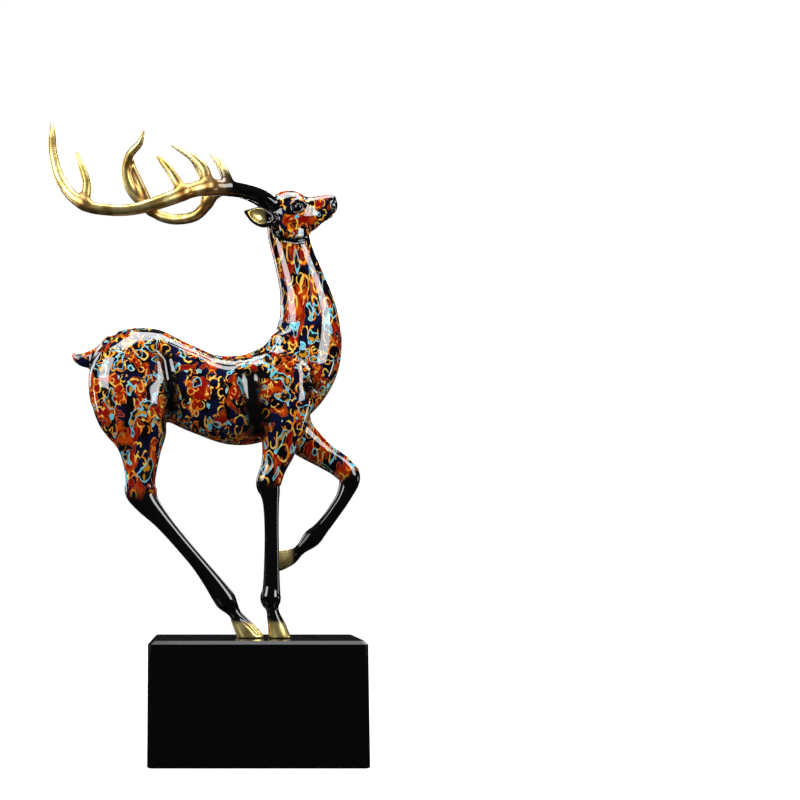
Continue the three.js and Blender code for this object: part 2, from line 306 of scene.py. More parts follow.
LEFT_EAR_ADVANCE = 5
# The raised hoof: block that holds it, a point of its sole [forward, up], the way the sole faces,
# its middle sideways, and how far down and how far in the cleft reaches
RAISED_HOOF = {
    "box": [[-2, 2, 48], [34, 30, 95]],
    "sole": [14, 70],
    "facing": [-0.96, -0.28],
    "middle": 13.2,
    "cleft": 4,
    "reach": 9,
}
# Clefts in the fronts of the hooves: width, and for each its middle, rear end and top
CLEFT_WIDTH = 1.8
CLEFTS = [
    {"middle": -16, "rear": 24.6, "top": 10},
    {"middle": -12, "rear": -3, "top": 9.5},
    {"middle": 12, "rear": -3, "top": 9.5},
]

# Hollows along lines drawn in side view: points [forward, up], half width, depth, how far from the
# mid-plane they begin, and how much painted shade blackens the lacquer in them
CREASES = [
    {
        "line": [[-93, 276], [-86, 265], [-82, 246], [-81, 226], [-80, 208]],
        "width": 6,
        "depth": 4.2,
        "inner": 14,
        "shade": 0.9,
    },
    {
        "line": [[-7, 256], [-4, 236], [-2, 217], [2, 196]],
        "width": 8,
        "depth": 3.6,
        "inner": 14,
        "shade": 0.95,
    },
    {
        "line": [[54.5, 249], [54.9, 239]],
        "width": 6.5,
        "depth": 5,
        "inner": 12,
        "shade": 0.9,
    },
    {
        "line": [[16, 285], [34, 273], [46, 264], [53, 252]],
        "width": 6,
        "depth": 2,
        "inner": 10,
        "shade": 0,
    },
    {
        "line": [[20, 405], [22.3, 394.4], [29.1, 388.1], [40.6, 386], [55, 390]],
        "width": 2.2,
        "depth": 2.4,
        "inner": 3,
        "shade": 0.9,
    },
    {
        "line": [[-15, 18.6], [-6, 11.5], [1, 4]],
        "width": 1.3,
        "depth": 1.6,
        "inner": 12,
        "shade": 0,
    },
]
# A hollow fades in from this far above its line's top to this far below it
CREASE_FADE = (8, -12)
# It is fully deep this far beyond where it begins sideways, and shallower than the least it is left out
CREASE_SIDE_FADE = 6
CREASE_LEAST = 0.02

# Widths of the fillets where each form meets the rest
BLENDS = {
    "trunk": 1,
    "tail": 5,
    "hind_pair": 3,
    "hind": 5,
    "rump": 11,
    "shoulder": 9,
    "fore_pair": 3,
    "fore": 7,
    "head": 6,
    "socket": 3,
    "upper_lid": 2,
    "lower_lid": 1.8,
    "eye": 0.5,
    "mouth": 1.5,
    "nostril": 1.5,
    "bowl": 1,
    "ear": 3,
    "tine": 5,
    "antler": 4,
}
# Room for the whole stag, its hind legs and its forelegs: lowest and highest corner
WHOLE_ROOM = ([-200, -88, -4], [108, 90, 530])
HIND_ROOM = ([-165, -45, -10], [12, 45, 295])
FORE_ROOM = ([0, -40, -16], [110, 40, 250])
# Where the wide fillet of the rump fades out, forwards and downwards
RUMP_X = [-135, -108]
RUMP_Z = [264, 286]

RIGHT, LEFT = -1, 1

# Borders of the colours, in parts. Each pair is where a change starts and where it is done.
ANTLER_ON = (0, 3)
ANTLER_GOLD_BACK = (20, 52)
ANTLER_GOLD_HEIGHTS = (440, 467)
ANTLER_GOLD_RISE = 14
ANTLER_ROOT = (-4, 0)
ANTLER_NEAR = (6, 3)
BOWL_SKIN = (0.9, 0.5)
BOWL_GOLD = (12, 4)
EAR_BLACK = (3, 0.8)
HOOF_GOLD = (16.5, 10)
RAISED_ON_GOLD = (2, 1)
RAISED_GOLD_HEIGHT = (95, 88)
RAISED_GOLD_FORWARD = (39, 28)
SHIN_FADE = (124, 150)
LEG_ON = (3, 1)
FORE_KNEE_FADE = (156, 138)
# The raised knee: its middle [forward, up], the way in which the black grows, and two borders
RAISED_KNEE = {"place": (84.8, 166.4), "facing": (0.61, 0.79), "fade": (6, 18), "below": (150, 140)}
# Painted shade in the hollows: where it starts and is full sideways from where the hollow begins, and its
# width in shares of the hollow's half width
CREASE_SHADE_SIDE = (-2, 4)
CREASE_SHADE_WIDTH = 1.7
TAIL_BLACK = {"place": (-157, 268), "fade": (11, 5)}
# The black around the eye is an ellipse that leans with the head
EYE_BLACK = {
    "place": (41.5, 419),
    "lean": (0.909, 0.417),
    "half": (13, 6),
    "fade": (1.1, 0.85),
    "side": (5, 9),
}
MUZZLE_BLACK = {"forward": (77, 81), "up": (421, 426), "tip": (83, 86), "above": (395, 405)}
NOSTRIL_BLACK = (9.5, 6)
FORK_DEPTH = (13, 1)
# How fast the marbling's upward coordinate runs at each height: less draws the marks out
FLOW_RANGE = (-10, 540)
FLOW_HEIGHTS = [150, 190, 225, 270, 300, 385, 400]
FLOW_PACES = [0.5, 0.6, 0.85, 0.9, 0.42, 0.42, 0.8]
# Shares of a normal at which a place starts and is done to face forward, sideways and up
FACING_START = [0.7, 0.2, 0.7]
FACING_DONE = [0.8, 0.5, 0.8]

# Golden hooks of the marbling: spacing, half width of the line in shares of it, and offset
HOOKS = [(12.5, 0.04, 47), (9, 0.04, 67)]
# Their radius, also in shares of the spacing, the softness of their lines, and the share left out
HOOK_RADIUS = 0.24
HOOK_RADIUS_SPREAD = 0.16
HOOK_SOFT = 0.03
HOOK_MISSING = 0.2
HOOK_MISSING_STEP = 0.01
# The push noise moves pools and loops, and hooks, by up to half of these, in parts
NOISE_MIDDLE = 0.5
PUSH = 13.0
HOOK_PUSH = 6.0
# Where in their noises' range pools, their rims and loops lie, and how far from it their parts do
POOL_LEVEL = 0.53
POOL_RIM_LEVEL = 0.52
LOOP_LEVEL = 0.64
POOL_SOFT = 0.035
LOOP_CORE_START = 0.005
LOOP_CORE_DONE = 0.015
LOOP_PALE = 0.014
# Half widths of the thin lines, and how softly they end, in shares of their noise's range
POOL_RIM_LINE = (0.003, 0.01)
LOOP_LINE = (0.019, 0.007)
LOOP_PALE_LINE = (0.004, 0.004)
# How much noise frays the lacquer's edge, and where in the sum the lacquer starts and is full
RAGGED_EDGE = 0.5
LACQUER_RISE = (0.1, 0.95)
# Noises: the width of a blob, an offset that makes each its own, and the detail.
# On the stag widths are in parts, and on the stone and the floor in metres.
OFFSET_STRETCH = 1.7
NOISES = {
    "push": (11, 3.1, 1.0),
    "ground": (15, 11),
    "pool": (13, 23, 1.5),
    "warm": (7, 31, 1.0),
    "hook_gaps": (5, 53),
    "hook_gold": (5, 59),
    "loop": (10, 71, 0.6),
    "loop_core": (4, 73),
    "ragged": (9, 83, 1.0),
    "patina": (12, 91, 1.0),
    "grain": (5, 97, 1.0),
    "polish": (30, 101),
    "wave": (9, 103, 1.0),
    "stone": (0.02, 5, 3.0),
    "paper": (0.5, 7, 2.0),
}
# Where in a noise's range its second colour starts and where it is reached
RISES = {
    "ground": (0.42, 0.6),
    "warm": (0.42, 0.65),
    "hook_gaps": (0.43, 0.47),
    "hook_gold": (0.38, 0.62),
    "loop_core": (0.5, 0.6),
    "patina": (0.42, 0.66),
}

# Colours of the lacquer, the gilding, the stone and the floor
BLACK = (0.004, 0.002, 0.003)
NAVY = (0.005, 0.006, 0.03)
RED = (0.3, 0.005, 0.001)
ORANGE = (0.58, 0.065, 0.003)
POOL_RIM = (0.55, 0.09, 0.006)
AMBER = (0.95, 0.24, 0.008)
YELLOW = (1.0, 0.66, 0.11)
LOOP_CORE_DARK = (0.012, 0.007, 0.008)
LOOP_CORE_GOLD = (0.62, 0.26, 0.015)
AQUA = (0.12, 0.56, 0.7)
PALE_AQUA = (0.45, 0.85, 0.9)
# Plain black where the lacquer fades out, also used as painted shade in the hollows
PLAIN_BLACK = (0.0035, 0.003, 0.0032)
GOLD_PALE = (0.84, 0.66, 0.26)
GOLD_DEEP = (0.42, 0.28, 0.07)
GOLD_FORK = (0.36, 0.14, 0.025)
STONE_DARK = (0.0022, 0.0022, 0.0024)
STONE_PALE = (0.0036, 0.0037, 0.004)
PAPER_DARK = (0.3, 0.3, 0.3)
PAPER_PALE = (0.33, 0.33, 0.33)

# Polish: how strongly the surfaces mirror, where 0.5 is plain, and how rough they are
LACQUER_SHINE = 0.85
STONE_SHINE = 0.22
LACQUER_ROUGHNESS = 0.035
LACQUER_ROUGHNESS_SPREAD = 0.04
GOLD_ROUGHNESS = 0.26
GOLD_ROUGHNESS_SPREAD = 0.16
GOLD_METAL = 0.9
FORK_BROWN = 0.75
STONE_ROUGHNESS = 0.06
PAPER_ROUGHNESS = 0.95
WAVE_STRENGTH = 0.05
WAVE_HEIGHT = 0.0006

# A Mix node's colour sockets, which share their names with its other sockets
MIX_FIRST, MIX_SECOND, MIX_RESULT = 6, 7, 2

# Studio: soft boxes by name, place, width, height and brightness
SOFT_BOXES = [
    ["left_box", (-1.25, -0.9, 1.05), 0.8, 1.2, 7.5],
    ["right_box", (1.3, -1.0, 1.05), 0.75, 1.2, 7.5],
    ["left_rim", (-1.6, 0.1, 0.22), 0.16, 0.36, 11.0],
    ["right_rim", (1.6, 0.1, 0.22), 0.13, 0.36, 9.0],
    ["top_box", (0, -0.1, 1.9), 1.6, 0.8, 8.0],
    ["rear_box", (0.35, 1.5, 1.15), 1.5, 0.8, 5.0],
    ["rear_left_box", (-1.4, 1.0, 1.0), 0.8, 1.0, 4.0],
]
# All boxes face one point
LIT_POINT = (-0.05, 0, 0.35)
BOX_COLOUR = (0.93, 0.965, 1.0)
# What the reflections show beside the boxes, what the camera sees, and the even light on all sides
ROOM = (0.01, 0.011, 0.013)
BACKDROP = (1.0, 1.0, 1.0)
FILL = (0.16, 0.16, 0.16)
FLOOR_SIZE = 30.0
FLOOR_GLOW = 0.96

# Camera: the photograph's place and field of view
LENS = 53.7
SENSOR = 36
SHIFT = (0.234, 0.035)
CAMERA_PLACE = (-0.04106, -1.155, 0.1748)
CAMERA_PITCH = 6.87


class Field:
    """Signed distances on a regular grid, negative inside, in parts of the stag's height."""

    def __init__(self, low, high):
        self.low = np.floor(np.array(low) / VOXEL).astype(int) - BAND
        top = np.ceil(np.array(high) / VOXEL).astype(int) + BAND
        self.values = np.full(tuple(top - self.low), BAND * VOXEL, np.float32)

    def window(self, other):
        """The part of this grid that the other field covers, and the other field's values there."""
        start = np.maximum(self.low, other.low)
        end = np.minimum(self.low + self.values.shape, other.low + other.values.shape)
        mine = tuple(slice(a, b) for a, b in zip(start - self.low, end - self.low))
        theirs = tuple(slice(a, b) for a, b in zip(start - other.low, end - other.low))
        return self.values[mine], other.values[theirs]

    def add(self, other, blend, rump_blend=None):
        """Joins the other form, with a fillet about as wide as blend, or as rump_blend on the rump."""
        mine, theirs = self.window(other)
        if rump_blend:
            x, _, z = (np.arange(n) * VOXEL for n in mine.shape)
            low = np.maximum(self.low, other.low) * VOXEL
            rear = np.interp(x + low[0], RUMP_X, [rump_blend, blend])[:, None, None]
            upper = np.interp(z + low[2], RUMP_Z, [blend, rump_blend])[None, None, :]
            blend = np.maximum(rear, upper).astype(np.float32)
        mix = np.maximum(blend - np.abs(mine - theirs), 0)
        mine[...] = np.minimum(mine, theirs) - mix * mix / (4 * blend)

    def cut(self, other, blend):
        """Takes the other form away, with edges rounded about as much as blend."""
        mine, theirs = self.window(other)
        mix = np.maximum(blend - np.abs(mine + theirs), 0)
        mine[...] = np.maximum(mine, -theirs) + mix * mix / (4 * blend)

    def at(self, points):
        """Distances at points, in between the grid's own."""
        place = points / VOXEL - self.low
        cell = np.clip(np.floor(place).astype(int), 0, np.array(self.values.shape) - 2)
        inside = np.all((place >= 0) & (place <= np.array(self.values.shape) - 1), axis=1)
        share = np.clip(place - cell, 0, 1)
        total = np.zeros(len(points))
        for corner in np.ndindex(2, 2, 2):
            weight = np.prod(np.where(corner, share, 1 - share), axis=1)
            total += weight * self.values[tuple((cell + corner).T)]
        return np.where(inside, total, BAND * VOXEL)

    def slope(self, points, reach=VOXEL):
        """The direction in which the distance grows fastest."""
        steps = np.eye(3) * reach
        rise = np.stack([self.at(points + s) - self.at(points - s) for s in steps], axis=1)
        return rise / np.maximum(np.linalg.norm(rise, axis=1, keepdims=True), TINY)


def sections(rows, side):
    """A smooth curve through the rows, as places with both half sizes, and its directions."""
    table = np.array(rows, float)
    table[:, 1] *= side
    knots = np.vstack([2 * table[0] - table[1], table, 2 * table[-1] - table[-2]])
    last = len(table) - 1
    place = np.linspace(0, last, last * LIMB_STEPS + 1)
    index = np.minimum(place.astype(int), last - 1)
    share = (place - index)[:, None]
    before, start, end, after = (knots[index + k] for k in range(4))
    linear = end - before
    square = 2 * before - 5 * start + 4 * end - after
    cubic = 3 * (start - end) + after - before
    point = 0.5 * (2 * start + linear * share + square * share**2 + cubic * share**3)
    slope = 0.5 * (linear + 2 * square * share + 3 * cubic * share**2)
    along = slope[:, :3] / np.linalg.norm(slope[:, :3], axis=1, keepdims=True)
    return point, along


def limb(rows, side=RIGHT, sides=LIMB_SIDES):
    """The field of one limb, with round ends."""
    point, along = sections(rows, side)
    rings = [(p, a, 0.0) for p, a in zip(point, along)]
    turns = np.linspace(0, math.pi / 2, DOME_RINGS + 1)[1:-1]
    first = [(point[0], along[0], -t) for t in turns[::-1]]
    final = [(point[-1], along[-1], t) for t in turns]
    angles = np.linspace(0, 2 * math.pi, sides, endpoint=False)
    mesh = []
    for row, forward, turn in first + rings + final:
        across = np.array([0, 1, 0]) - forward * forward[1]
        across /= np.linalg.norm(across)
        upright = np.cross(across, forward)
        reach = min(row[3], row[4])
        centre = row[:3] + forward * reach * math.sin(turn)
        size = math.cos(turn)
        mesh.append(
            centre
            + np.outer(np.cos(angles) * row[3] * size, upright)
            + np.outer(np.sin(angles) * row[4] * size, across)
        )
    count = len(mesh)
    tips = [
        point[0][:3] - along[0] * min(point[0][3:]),
        point[-1][:3] + along[-1] * min(point[-1][3:]),
    ]
    points = np.vstack(mesh + [tips]).astype(np.float32)
    j = np.arange(sides)
    following = (j + 1) % sides
    starts = (np.arange(count - 1) * sides)[:, None]
    quads = np.stack(
        [starts + j, starts + following, starts + sides + following, starts + sides + j], axis=-1
    ).reshape(-1, 4)
    end = (count - 1) * sides
    caps = np.vstack(
        [
            np.stack([np.full(sides, count * sides), following, j], axis=1),
            np.stack([np.full(sides, count * sides + 1), end + j, end + following], axis=1),
        ]
    )
    return voxels(points, caps, quads)


def voxels(points, triangles, quads):
    """The field of a closed mesh."""
    grid = openvdb.FloatGrid.createLevelSetFromPolygons(
        points,
        triangles=triangles.astype(np.uint32),
        quads=quads.astype(np.uint32),
        transform=openvdb.createLinearTransform(VOXEL),
        halfWidth=BAND,
    )
    field = Field(points.min(0), points.max(0))
    grid.copyToArray(field.values, ijk=tuple(int(v) for v in field.low))
    return field


def ball(centre, radius):
    """The field of a ball."""
    centre = np.array(centre, float)
    field = Field(centre - radius, centre + radius)
    axes = [(np.arange(n) + low) * VOXEL for n, low in zip(field.values.shape, field.low)]
    x, y, z = np.meshgrid(*(a - c for a, c in zip(axes, centre)), indexing="ij", sparse=True)
    field.values[...] = np.sqrt(x * x + y * y + z * z) - radius
    return field


def moved(rows, advance, lift):
    """The same rows further forward and up."""
    return [[x + advance, y, z + lift, tall, wide] for x, y, z, tall, wide in rows]


def joined(fields, blend, room):
    """The field of several forms, with fillets between them."""
    whole = Field(*room)
    for field in fields:
        whole.add(field, blend)
    return whole


def crease(whole, line, width, depth, inner):
    """Presses a hollow into both sides of the form along a line drawn in side view."""
    shape = whole.values.shape
    x = ((np.arange(shape[0]) + whole.low[0]) * VOXEL)[:, None]
    z = ((np.arange(shape[2]) + whole.low[2]) * VOXEL)[None, :]
    nearest = np.full((shape[0], shape[2]), FAR)
    places = np.array(line, float)
    total = len(places) - 1
    for i in range(total):
        a, b = places[i], places[i + 1]
        run = b - a
        t = np.clip(((x - a[0]) * run[0] + (z - a[1]) * run[1]) / (run @ run), 0, 1)
        gap = (x - a[0] - t * run[0]) ** 2 + (z - a[1] - t * run[1]) ** 2
        nearest = np.minimum(nearest, gap)
    fade_start, fade_end = (line[0][1] + offset for offset in CREASE_FADE)
    press = depth * np.exp(-nearest / width**2) * ramp(z, fade_start, fade_end)
    columns = np.nonzero(press.max(axis=1) > CREASE_LEAST)[0]
    levels = np.nonzero(press.max(axis=0) > CREASE_LEAST)[0]
    here = (slice(columns[0], columns[-1] + 1), slice(None), slice(levels[0], levels[-1] + 1))
    y = np.abs((np.arange(shape[1]) + whole.low[1]) * VOXEL)
    sideways = np.clip((y - inner) / CREASE_SIDE_FADE, 0, 1)
    pressed = press[here[0], here[2]][:, None, :] * sideways[None, :, None]
    whole.values[here] += pressed.astype(np.float32)


def build_forms():
    """The stag's limbs as fields, and the whole that they blend into."""
    forms = {
        "trunk": limb(TRUNK, sides=TRUNK_SIDES),
        "head": limb(HEAD, sides=LEG_SIDES),
        "foreleg": limb(FORELEG, RIGHT, LEG_SIDES),
        "raised": limb(RAISED_FORELEG, LEFT, LEG_SIDES),
        "ears": [],
        "bowls": [],
        "antlers": [],
        "forks": [],
    }
    whole = Field(*WHOLE_ROOM)
    whole.add(forms["trunk"], BLENDS["trunk"])
    whole.add(limb(TAIL), BLENDS["tail"])
    hind = [limb(HIND_LEG, side, TRUNK_SIDES) for side in (RIGHT, LEFT)]
    whole.add(joined(hind, BLENDS["hind_pair"], HIND_ROOM), BLENDS["hind"], BLENDS["rump"])
    for side in (RIGHT, LEFT):
        whole.add(limb(SHOULDER, side, LEG_SIDES), BLENDS["shoulder"])
    fore = [forms["foreleg"], forms["raised"]]
    whole.add(joined(fore, BLENDS["fore_pair"], FORE_ROOM), BLENDS["fore"])
    whole.add(forms["head"], BLENDS["head"])
    for hollow in CREASES:
        crease(whole, hollow["line"], hollow["width"], hollow["depth"], hollow["inner"])
    add_face(whole)
    for side, advance, lift in ((RIGHT, 0, 0), (LEFT, LEFT_EAR_ADVANCE, LEFT_EAR_LIFT)):
        ear = limb(moved(EAR, advance, lift), side)
        bowl = limb(moved(EAR_BOWL, advance, lift), side)
        ear.cut(bowl, BLENDS["bowl"])
        whole.add(ear, BLENDS["ear"])
        forms["ears"].append(ear)
        forms["bowls"].append(bowl)
    for side, rows, branches in ((RIGHT, RIGHT_BEAM, RIGHT_TINES), (LEFT, LEFT_BEAM, LEFT_TINES)):
        beam = limb(rows, side)
        tines = [limb(branch, side) for branch in branches]
        forms["forks"] += [(limb(rows, side), tine) for tine in tines]
        for tine in tines:
            beam.add(tine, BLENDS["tine"])
        forms["antlers"].append(beam)
        whole.add(beam, BLENDS["antler"])
    cut_raised_hoof(whole)
    for cleft in CLEFTS:
        cut_cleft(whole, **cleft)
    cut_soles(whole)
    return forms, whole


def face_ball(spot, side):
    """The field of a ball at a named spot of the face."""
    return ball([spot["forward"], side * spot["sideways"], spot["up"]], spot["radius"])


def add_face(whole):
    """Eyes in their sockets, lids, nostrils and mouth."""
    for side in (RIGHT, LEFT):
        whole.cut(face_ball(SOCKET, side), BLENDS["socket"])
        whole.add(limb(UPPER_LID, side, FINE_SIDES), BLENDS["upper_lid"])
        whole.add(limb(LOWER_LID, side, FINE_SIDES), BLENDS["lower_lid"])
        whole.add(face_ball(EYE, side), BLENDS["eye"])
        whole.cut(limb(MOUTH, side, FINE_SIDES), BLENDS["mouth"])
        whole.cut(face_ball(NOSTRIL, side), BLENDS["nostril"])


def cut_cleft(whole, middle, rear, top):
    """Cuts a thin upright slot into a hoof from its front."""
    shape = whole.values.shape
    x, y, z = ((np.arange(count) + low) * VOXEL for count, low in zip(shape, whole.low))
    front = slice(np.searchsorted(x, rear - BAND), None)
    low = slice(0, np.searchsorted(z, top + BAND))
    here = (front, slice(None), low)
    slot = (np.abs(y - middle) - CLEFT_WIDTH / 2)[None, :, None]
    slot = np.maximum(slot, (rear - x[here[0]])[:, None, None])
    slot = np.maximum(slot, (z[here[2]] - top)[None, None, :])
    whole.values[here] = np.maximum(whole.values[here], -slot)


def cut_raised_hoof(whole):
    """Ends the raised hoof in a flat sole that faces back, with a cleft at its toe."""
    shape = whole.values.shape
    x, y, z = ((np.arange(count) + low) * VOXEL for count, low in zip(shape, whole.low))
    low, high = RAISED_HOOF["box"]
    here = tuple(slice(*np.searchsorted(axis, ends)) for axis, ends in zip((x, y, z), zip(low, high)))
    x = x[here[0]][:, None, None]
    y = y[here[1]][None, :, None]
    z = z[here[2]][None, None, :]
    facing_x, facing_z = RAISED_HOOF["facing"]
    sole_x, sole_z = RAISED_HOOF["sole"]
    out = (x - sole_x) * facing_x + (z - sole_z) * facing_z
    down = (x - sole_x) * -facing_z + (z - sole_z) * facing_x
    slot = np.maximum(np.abs(y - RAISED_HOOF["middle"]) - CLEFT_WIDTH / 2, RAISED_HOOF["cleft"] - down)
    slot = np.maximum(slot, -RAISED_HOOF["reach"] - out)
    flat = np.maximum(whole.values[here], out)
    whole.values[here] = np.maximum(flat, -slot)


def cut_soles(whole):
    """Ends the hooves in flat soles at height 0."""
    z = (np.arange(whole.values.shape[2]) + whole.low[2]) * VOXEL
    below = np.nonzero(z < 2 * VOXEL)[0][-1] + 1
    part = whole.values[:, :, :below]
    np.maximum(part, -z[None, None, :below].astype(np.float32), out=part)


def to_frame(points):
    """Places in the row frame, in metres."""
    return points * UNIT + np.array([0, STAG_PLACE_Y, STAG_LOW.z])


def new_object(name, points, faces):
    """A mesh object from points and faces that all have the same number of corners."""
    mesh = bpy.data.meshes.new(name)
    corners = faces.shape[1]
    mesh.vertices.add(len(points))
    mesh.vertices.foreach_set("co", points.astype(np.float32).ravel())
    mesh.loops.add(faces.size)
    mesh.loops.foreach_set("vertex_index", faces.astype(np.int32).ravel())
    mesh.polygons.add(len(faces))
    mesh.polygons.foreach_set("loop_start", np.arange(0, faces.size, corners, dtype=np.int32))
    mesh.update(calc_edges=True)
    piece = bpy.data.objects.new(name, mesh)
    bpy.context.scene.collection.objects.link(piece)
    return piece


def skin(whole):
    """The whole's surface as one closed mesh, with its places in parts and its normals."""
    grid = openvdb.FloatGrid(float(SKIN_CLIP))
    grid.copyFromArray(np.clip(whole.values / VOXEL, -SKIN_CLIP, SKIN_CLIP))
    points, _, quads = grid.convertToPolygons(isovalue=0.0, adaptivity=0.0)
    places = (points + whole.low) * VOXEL
    piece = new_object("deer_skin", places, quads)
    thin = piece.modifiers.new("Thin", "DECIMATE")
    thin.ratio = min(1.0, SKIN_TRIANGLES / (2 * len(quads)))
    ready = piece.evaluated_get(bpy.context.evaluated_depsgraph_get())
    mesh = bpy.data.meshes.new_from_object(ready)
    old = piece.data
    piece.modifiers.clear()
    piece.data = mesh
    bpy.data.meshes.remove(old)
    mesh.name = "deer_skin"
    count = len(mesh.vertices)
    flat = np.empty(count * 3, np.float32)
    mesh.vertices.foreach_get("co", flat)
    places = flat.reshape(-1, 3).astype(float)
    out = whole.slope(places)
    away = np.clip(whole.at(places), -MOST_AWAY, MOST_AWAY)
    places -= out * away[:, None]
    out = whole.slope(places, NORMAL_REACH)
    mesh.vertices.foreach_set("co", to_frame(places).astype(np.float32).ravel())
    mesh.update()
    mesh.polygons.foreach_set("use_smooth", np.ones(len(mesh.polygons), bool))
    mesh.normals_split_custom_set_from_vertices(out.tolist())
    return piece, places, out


def ramp(value, start, end):
    """0 at start and 1 at end, with a soft change in between."""
    start, end = np.asarray(start, float), np.asarray(end, float)
    share = np.clip((value - start) / (end - start), 0, 1)
    return share * share * (3 - 2 * share)


def line_gap(x, z, line):
    """Distance in side view from places to a line of straight runs."""
    nearest = np.full(len(x), FAR)
    for (ax, az), (bx, bz) in zip(line, line[1:]):
        run = (bx - ax) ** 2 + (bz - az) ** 2
        t = np.clip(((x - ax) * (bx - ax) + (z - az) * (bz - az)) / run, 0, 1)
        gap = np.hypot(x - ax - t * (bx - ax), z - az - t * (bz - az))
        nearest = np.minimum(nearest, gap)
    return nearest


def gold_share(forms, places):
    """1 on gilded antlers, ear bowls and hooves."""
    x, _, z = places.T
    body = np.minimum(forms["trunk"].at(places), forms["head"].at(places))
    gold = np.zeros(len(places))
    for antler, height in zip(forms["antlers"], ANTLER_GOLD_HEIGHTS):
        on = ramp(body - antler.at(places), *ANTLER_ON)
        out = np.maximum(ramp(-x, *ANTLER_GOLD_BACK), ramp(z, height, height + ANTLER_GOLD_RISE))
        gold = np.maximum(gold, on * out)
    for bowl, advance in zip(forms["bowls"], (0, LEFT_EAR_ADVANCE)):
        inside = ramp(np.abs(bowl.at(places)), *BOWL_SKIN)
        gold = np.maximum(gold, inside * ramp(x - advance, *BOWL_GOLD))
    gold = np.maximum(gold, ramp(z, *HOOF_GOLD))
    raised = ramp(forms["raised"].at(places), *RAISED_ON_GOLD) * ramp(z, *RAISED_GOLD_HEIGHT)
    return np.maximum(gold, raised * ramp(x, *RAISED_GOLD_FORWARD))


def lacquer_share(forms, places):
    """1 where the marbled lacquer shows, 0 where it has faded into plain black, and 0 in the hollows, which
    painted shade blackens.
    """
    x, y, z = places.T
    share = ramp(z, *SHIN_FADE)
    fore = ramp(forms["foreleg"].at(places), *LEG_ON)
    share *= 1 - fore * ramp(z, *FORE_KNEE_FADE)
    knee_x, knee_z = RAISED_KNEE["place"]
    facing_x, facing_z = RAISED_KNEE["facing"]
    knee = (x - knee_x) * facing_x + (knee_z - z) * facing_z
    raised = ramp(forms["raised"].at(places), *LEG_ON)
    share *= 1 - raised * np.maximum(ramp(knee, *RAISED_KNEE["fade"]), ramp(z, *RAISED_KNEE["below"]))
    # Painted shade: the lacquer turns black in the hollows
    share *= hollow_shade_share(x, y, z)
    tail = np.hypot(x - TAIL_BLACK["place"][0], z - TAIL_BLACK["place"][1])
    share *= 1 - ramp(tail, *TAIL_BLACK["fade"])
    share *= face_share(x, y, z)
    for ear in forms["ears"]:
        share *= 1 - ramp(ear.at(places), *EAR_BLACK)
    body = np.minimum(forms["trunk"].at(places), forms["head"].at(places))
    for antler in forms["antlers"]:
        near = antler.at(places)
        share *= 1 - ramp(body - near, *ANTLER_ROOT) * ramp(near, *ANTLER_NEAR)
    return share


def hollow_shade_share(x, y, z):
    """0 in the painted shade that blackens the hollows, 1 elsewhere."""
    share = np.ones(len(x))
    for hollow in CREASES:
        gap = line_gap(x, z, hollow["line"])
        near, far = (hollow["inner"] + offset for offset in CREASE_SHADE_SIDE)
        top = hollow["line"][0][1]
        fade_start, fade_end = (top + offset for offset in CREASE_FADE)
        # depth here is how strong the painted shade is, not how deep the hollow is
        depth = hollow["shade"] * ramp(np.abs(y), near, far) * ramp(z, fade_start, fade_end)
        share *= 1 - depth * np.exp(-((gap / hollow["width"] / CREASE_SHADE_WIDTH) ** 2))
    return share


def face_share(x, y, z):
    """0 in the black around the eyes and on the muzzle, 1 elsewhere."""
    eye_x, eye_z = EYE_BLACK["place"]
    lean_x, lean_z = EYE_BLACK["lean"]
    half_along, half_across = EYE_BLACK["half"]
    along = (x - eye_x) * lean_x + (z - eye_z) * lean_z
    across = (z - eye_z) * lean_x - (x - eye_x) * lean_z
    round_eye = ramp(np.hypot(along / half_along, across / half_across), *EYE_BLACK["fade"])
    share = 1 - round_eye * ramp(np.abs(y), *EYE_BLACK["side"])
    upper = ramp(x, *MUZZLE_BLACK["forward"]) * ramp(z, *MUZZLE_BLACK["up"])
    muzzle = np.maximum(upper, ramp(x, *MUZZLE_BLACK["tip"]))
    share *= 1 - muzzle * ramp(z, *MUZZLE_BLACK["above"])
    nostril = np.hypot(x - NOSTRIL["forward"], z - NOSTRIL["up"])
    return share * (1 - ramp(nostril, *NOSTRIL_BLACK))


def fork_share(forms, places):
    """1 deep in the antlers' forks, where the gilding is browner."""
    share = np.zeros(len(places))
    for beam, tine in forms["forks"]:
        a = beam.at(places)
        b = tine.at(places)
        share = np.maximum(share, ramp(a + b, *FORK_DEPTH))
    return share


def flow(places):
    """Coordinates for the marbling, which is drawn out along the neck and the legs."""
    heights = np.arange(*FLOW_RANGE, 1.0)
    run = np.cumsum(np.interp(heights, FLOW_HEIGHTS, FLOW_PACES))
    return np.column_stack([places[:, 0], places[:, 1], np.interp(places[:, 2], heights, run)])


def facing(normals):
    """How much a place faces forward or back, sideways, and up or down, in shares of one."""
    share = ramp(np.abs(normals), FACING_START, FACING_DONE)
    share[:, 1] = np.maximum(share[:, 1] - share[:, 0] - share[:, 2], 0)
    return share


def attach(mesh, name, kind, values):
    """Stores a value at each vertex for the material."""
    layer = mesh.attributes.new(name, kind, "POINT")
    field = "vector" if kind == "FLOAT_VECTOR" else "value"
    layer.data.foreach_set(field, values.astype(np.float32).ravel())


